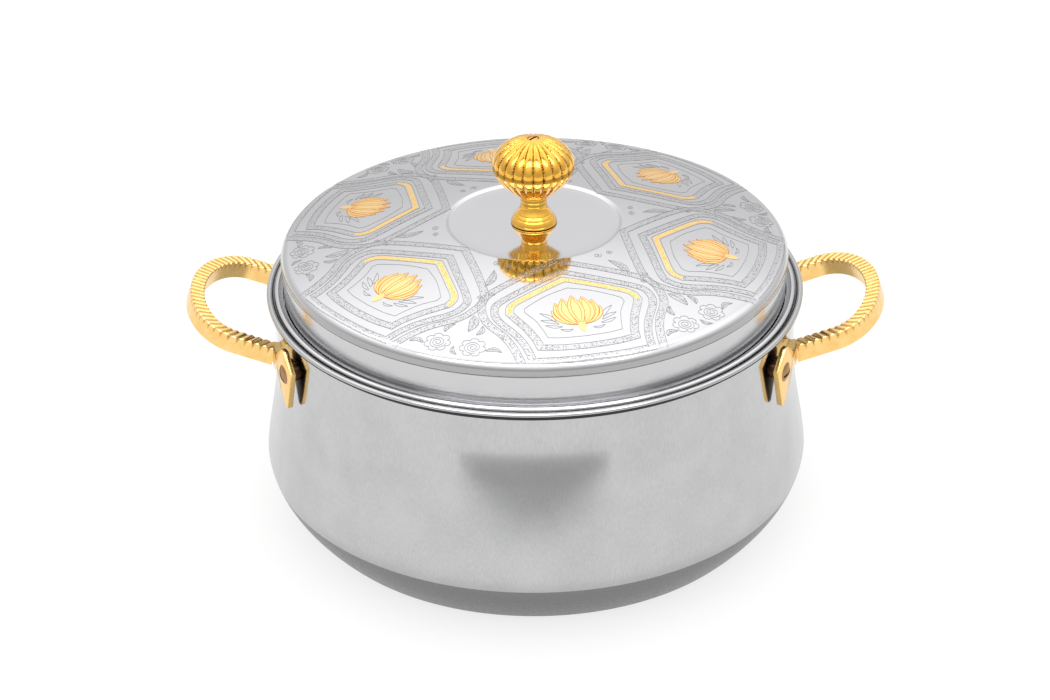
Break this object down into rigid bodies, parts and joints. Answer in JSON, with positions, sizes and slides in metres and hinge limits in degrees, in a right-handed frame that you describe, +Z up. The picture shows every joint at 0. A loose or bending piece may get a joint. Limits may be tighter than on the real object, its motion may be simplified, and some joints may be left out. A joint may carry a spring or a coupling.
{
  "type": "insulated casserole",
  "caption": "Round double-walled steel casserole for flatbreads, with a bellied pot, brass loop handles and a domed lift-off lid with a turned brass knob.",
  "frame": {"origin": "middle of the flat base, on the surface it stands on", "axes": "+Z up through the knob, the handles lie along X, the front faces -Y"},
  "size_m": [0.3272, 0.2588, 0.1846],
  "materials": {
    "satin_steel": "satin",
    "polished_steel": "polished",
    "brass": "polished",
    "zinc_steel": "plain",
    "foam": "rigid foam"
  },
  "bodies": {
    "pot": {"outer_shell": "satin_steel", "inner_bowl": "polished_steel", "body_insulation": "foam", "base_plate": "satin_steel", "left_handle": "brass", "right_handle": "brass", "left_handle_screws": "brass", "right_handle_screws": "brass", "left_handle_spacers": "zinc_steel", "right_handle_spacers": "zinc_steel", "left_handle_washers": "zinc_steel", "right_handle_washers": "zinc_steel", "left_handle_nuts": "zinc_steel", "right_handle_nuts": "zinc_steel"},
    "lid": {"lid_cover": "polished_steel", "lid_liner": "polished_steel", "lid_insulation": "foam", "knob_ball": "brass", "knob_bell": "brass", "knob_stud": "brass", "knob_washer": "zinc_steel", "knob_nut": "zinc_steel"}
  },
  "joints": [
    {"name": "lid_lift", "type": "slide", "parent": "pot", "child": "lid", "axis": [0, 0, 1], "range_m": [0, 0.12]}
  ]
}
